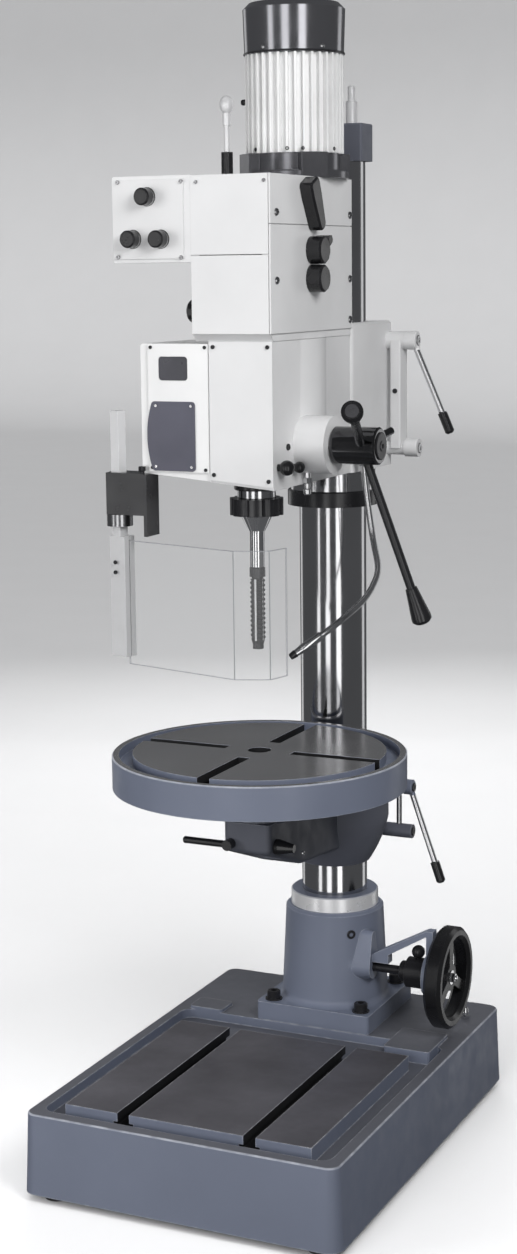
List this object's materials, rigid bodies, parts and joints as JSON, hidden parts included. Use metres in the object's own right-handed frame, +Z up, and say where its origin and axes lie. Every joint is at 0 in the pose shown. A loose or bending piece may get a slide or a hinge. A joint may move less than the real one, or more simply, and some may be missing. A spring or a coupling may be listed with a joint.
{
  "type": "pillar drill",
  "caption": "Floor-standing gear-head pillar drill with slotted base, round column, swinging round table, lever-fed quill, finned motor and clear chip guard.",
  "frame": {"origin": "middle of the base casting's footprint, on the floor", "axes": "+Z up along the column, -Y towards the operator, +X to the operator's right"},
  "size_m": [0.572, 0.804, 1.966],
  "materials": {
    "head_paint": "satin",
    "base_paint": "satin",
    "table_iron": "satin",
    "column_steel": "polished",
    "machine_steel": "satin",
    "chrome": "polished",
    "dark_paint": "gloss",
    "black_plastic": "gloss",
    "aluminium": "satin",
    "clear_sheet": "gloss",
    "display_face": "satin",
    "bronze": "satin",
    "foot_rubber": "matte"
  },
  "bodies": {
    "stand": {"base_casting": "base_paint", "levelling_feet": "foot_rubber", "column_foot": "base_paint", "column": "column_steel", "column_cap": "dark_paint", "handwheel_bracket": "base_paint", "shaft_housing": "dark_paint"},
    "shaft_lock": {"shaft_lock_knob": "black_plastic"},
    "handwheel": {"handwheel": "dark_paint", "elevating_shaft": "dark_paint"},
    "lift_screw": {"elevating_screw": "machine_steel"},
    "table_carrier": {"lifting_nut": "bronze"},
    "table_arm": {"table_arm": "base_paint", "table_clamp_link": "machine_steel"},
    "table": {"table": "table_iron"},
    "table_clamp": {"table_clamp_lever": "chrome"},
    "table_lock": {"table_lock_lever": "black_plastic"},
    "index": {"index_knob": "black_plastic"},
    "head_collar": {"support_collar": "dark_paint"},
    "head": {"head_casting": "head_paint", "head_clamp_bar": "head_paint", "gearbox_housing": "head_paint", "gearbox_covers": "head_paint", "lower_front_cover": "head_paint", "motor_flange": "dark_paint", "motor_housing": "head_paint", "fan_cover": "dark_paint", "shaft_bearings": "machine_steel", "control_box": "head_paint", "display_box": "head_paint", "display_window": "display_face", "display_panel": "display_face", "guard_bracket": "dark_paint", "coolant_pipe": "machine_steel"},
    "head_clamp": {"head_clamp_lever": "chrome"},
    "feed": {"feed_hub": "dark_paint", "feed_arms": "dark_paint", "feed_grips": "black_plastic"},
    "quill": {"quill": "machine_steel", "spindle_bearings": "machine_steel"},
    "spindle": {"spindle": "machine_steel", "nose_collar": "dark_paint", "tap_holder": "machine_steel", "tap": "machine_steel"},
    "rotor": {"motor_rotor": "machine_steel"},
    "layshaft": {"layshaft": "machine_steel"},
    "sleeve": {"drive_sleeve": "machine_steel"},
    "gear_lever": {"gear_lever": "black_plastic"},
    "upper_speed": {"upper_speed_knob": "black_plastic"},
    "lower_speed": {"lower_speed_knob": "black_plastic"},
    "main_switch": {"main_switch": "black_plastic"},
    "pull_rod": {"pull_rod": "chrome"},
    "front_knob": {"front_knob": "black_plastic"},
    "rear_knob": {"rear_knob": "black_plastic"},
    "upper_button": {"upper_button": "black_plastic"},
    "left_button": {"left_button": "black_plastic"},
    "right_button": {"right_button": "black_plastic"},
    "guard_swivel": {"guard_bush": "machine_steel"},
    "guard": {"guard_frame": "aluminium", "guard_shield": "clear_sheet"}
  },
  "joints": [
    {"name": "shaft_lock_turn", "type": "hinge", "parent": "stand", "child": "shaft_lock", "pos_m": [0.183, 0.2214, 0.302], "axis": [0, 0, 1], "range_deg": [-120, 120]},
    {"name": "handwheel_turn", "type": "hinge", "parent": "stand", "child": "handwheel", "pos_m": [0.236, 0.2214, 0.262], "axis": [1, 0, 0], "range_deg": [-3900, 1200]},
    {"name": "screw_spin", "type": "hinge", "parent": "stand", "child": "lift_screw", "pos_m": [0, 0.2664, 0.262], "axis": [0, 0, 1], "range_deg": [-3905, 1205]},
    {"name": "table_lift", "type": "slide", "parent": "stand", "child": "table_carrier", "axis": [0, 0, -1], "range_m": [-0.131, 0.041]},
    {"name": "arm_swing", "type": "hinge", "parent": "table_carrier", "child": "table_arm", "pos_m": [0, 0.2664, 0.56], "axis": [0, 0, 1], "range_deg": [-40, 40]},
    {"name": "table_turn", "type": "hinge", "parent": "table_arm", "child": "table", "pos_m": [0, -0.0576, 0.7], "axis": [0, 0, 1], "continuous": true},
    {"name": "table_clamp_turn", "type": "hinge", "parent": "table_arm", "child": "table_clamp", "pos_m": [0.116, 0.3264, 0.579], "axis": [1, 0, 0], "range_deg": [-45, 45]},
    {"name": "table_lock_turn", "type": "hinge", "parent": "table_arm", "child": "table_lock", "pos_m": [-0.029, -0.1136, 0.569], "axis": [0, 1, 0], "range_deg": [-40, 40]},
    {"name": "index_pull", "type": "slide", "parent": "table_arm", "child": "index", "axis": [1, 0, 0], "range_m": [0, 0.008], "stiffness_N_per_m": 600, "springref_m": -0.01},
    {"name": "head_lift", "type": "slide", "parent": "stand", "child": "head_collar", "axis": [0, 0, -1], "range_m": [-0.22, 0.12]},
    {"name": "head_swing", "type": "hinge", "parent": "head_collar", "child": "head", "pos_m": [0, 0.2664, 1.28], "axis": [0, 0, 1], "range_deg": [-40, 40]},
    {"name": "head_clamp_turn", "type": "hinge", "parent": "head", "child": "head_clamp", "pos_m": [0.108, 0.3614, 1.395], "axis": [1, 0, 0], "range_deg": [-45, 45]},
    {"name": "feed_turn", "type": "hinge", "parent": "head", "child": "feed", "pos_m": [0.168, -0.0096, 1.237], "axis": [-1, 0, 0], "range_deg": [-429.7, 0], "stiffness_Nm_per_rad": 0.3, "springref_deg": 802.14},
    {"name": "quill_feed", "type": "slide", "parent": "head", "child": "quill", "axis": [0, 0, 1], "range_m": [-0.1505, 0.0005]},
    {"name": "spindle_spin", "type": "hinge", "parent": "quill", "child": "spindle", "pos_m": [0, -0.0576, 1.1], "axis": [0, 0, 1], "continuous": true},
    {"name": "motor_spin", "type": "hinge", "parent": "head", "child": "rotor", "pos_m": [0, 0.1104, 1.8], "axis": [0, 0, 1], "continuous": true},
    {"name": "layshaft_spin", "type": "hinge", "parent": "head", "child": "layshaft", "pos_m": [0, 0.0264, 1.55], "axis": [0, 0, 1], "continuous": true},
    {"name": "sleeve_spin", "type": "hinge", "parent": "head", "child": "sleeve", "pos_m": [0, -0.0576, 1.5], "axis": [0, 0, 1], "continuous": true},
    {"name": "gear_lever_turn", "type": "hinge", "parent": "head", "child": "gear_lever", "pos_m": [0.0704, 0.0144, 1.598], "axis": [1, 0, 0], "range_deg": [-25, 25]},
    {"name": "upper_speed_turn", "type": "hinge", "parent": "head", "child": "upper_speed", "pos_m": [0.0704, 0.0144, 1.554], "axis": [1, 0, 0], "range_deg": [-90, 90]},
    {"name": "lower_speed_turn", "type": "hinge", "parent": "head", "child": "lower_speed", "pos_m": [0.0704, 0.0144, 1.508], "axis": [1, 0, 0], "range_deg": [-90, 90]},
    {"name": "main_switch_turn", "type": "hinge", "parent": "head", "child": "main_switch", "pos_m": [-0.0704, -0.1186, 1.458], "axis": [-1, 0, 0], "range_deg": [0, 90]},
    {"name": "pull_rod_lift", "type": "slide", "parent": "head", "child": "pull_rod", "axis": [0, 0, 1], "range_m": [0, 0.02]},
    {"name": "front_knob_turn", "type": "hinge", "parent": "head", "child": "front_knob", "pos_m": [0.066, -0.1146, 1.207], "axis": [1, 0, 0], "range_deg": [-150, 150]},
    {"name": "rear_knob_turn", "type": "hinge", "parent": "head", "child": "rear_knob", "pos_m": [0.066, -0.0586, 1.203], "axis": [1, 0, 0], "range_deg": [-150, 150]},
    {"name": "upper_button_press", "type": "slide", "parent": "head", "child": "upper_button", "axis": [0, 1, 0], "range_m": [0, 0.004], "stiffness_N_per_m": 800, "springref_m": -0.003},
    {"name": "left_button_press", "type": "slide", "parent": "head", "child": "left_button", "axis": [0, 1, 0], "range_m": [0, 0.004], "stiffness_N_per_m": 800, "springref_m": -0.003},
    {"name": "right_button_press", "type": "slide", "parent": "head", "child": "right_button", "axis": [0, 1, 0], "range_m": [0, 0.004], "stiffness_N_per_m": 800, "springref_m": -0.003},
    {"name": "guard_swing", "type": "hinge", "parent": "head", "child": "guard_swivel", "pos_m": [-0.222, -0.1256, 1.14], "axis": [0, 0, -1], "range_deg": [0, 100]},
    {"name": "guard_height", "type": "slide", "parent": "guard_swivel", "child": "guard", "axis": [0, 0, 1], "range_m": [-0.1, 0]}
  ],
  "couplings": [
    {"joint": "screw_spin", "follows": "handwheel_turn", "ratio": 1},
    {"joint": "table_lift", "follows": "handwheel_turn", "m_per_rad": 0.0019099},
    {"joint": "quill_feed", "follows": "feed_turn", "m_per_rad": 0.02},
    {"joint": "layshaft_spin", "follows": "motor_spin", "ratio": -0.55556},
    {"joint": "sleeve_spin", "follows": "motor_spin", "ratio": 0.30864},
    {"joint": "spindle_spin", "follows": "motor_spin", "ratio": 0.30864}
  ]
}
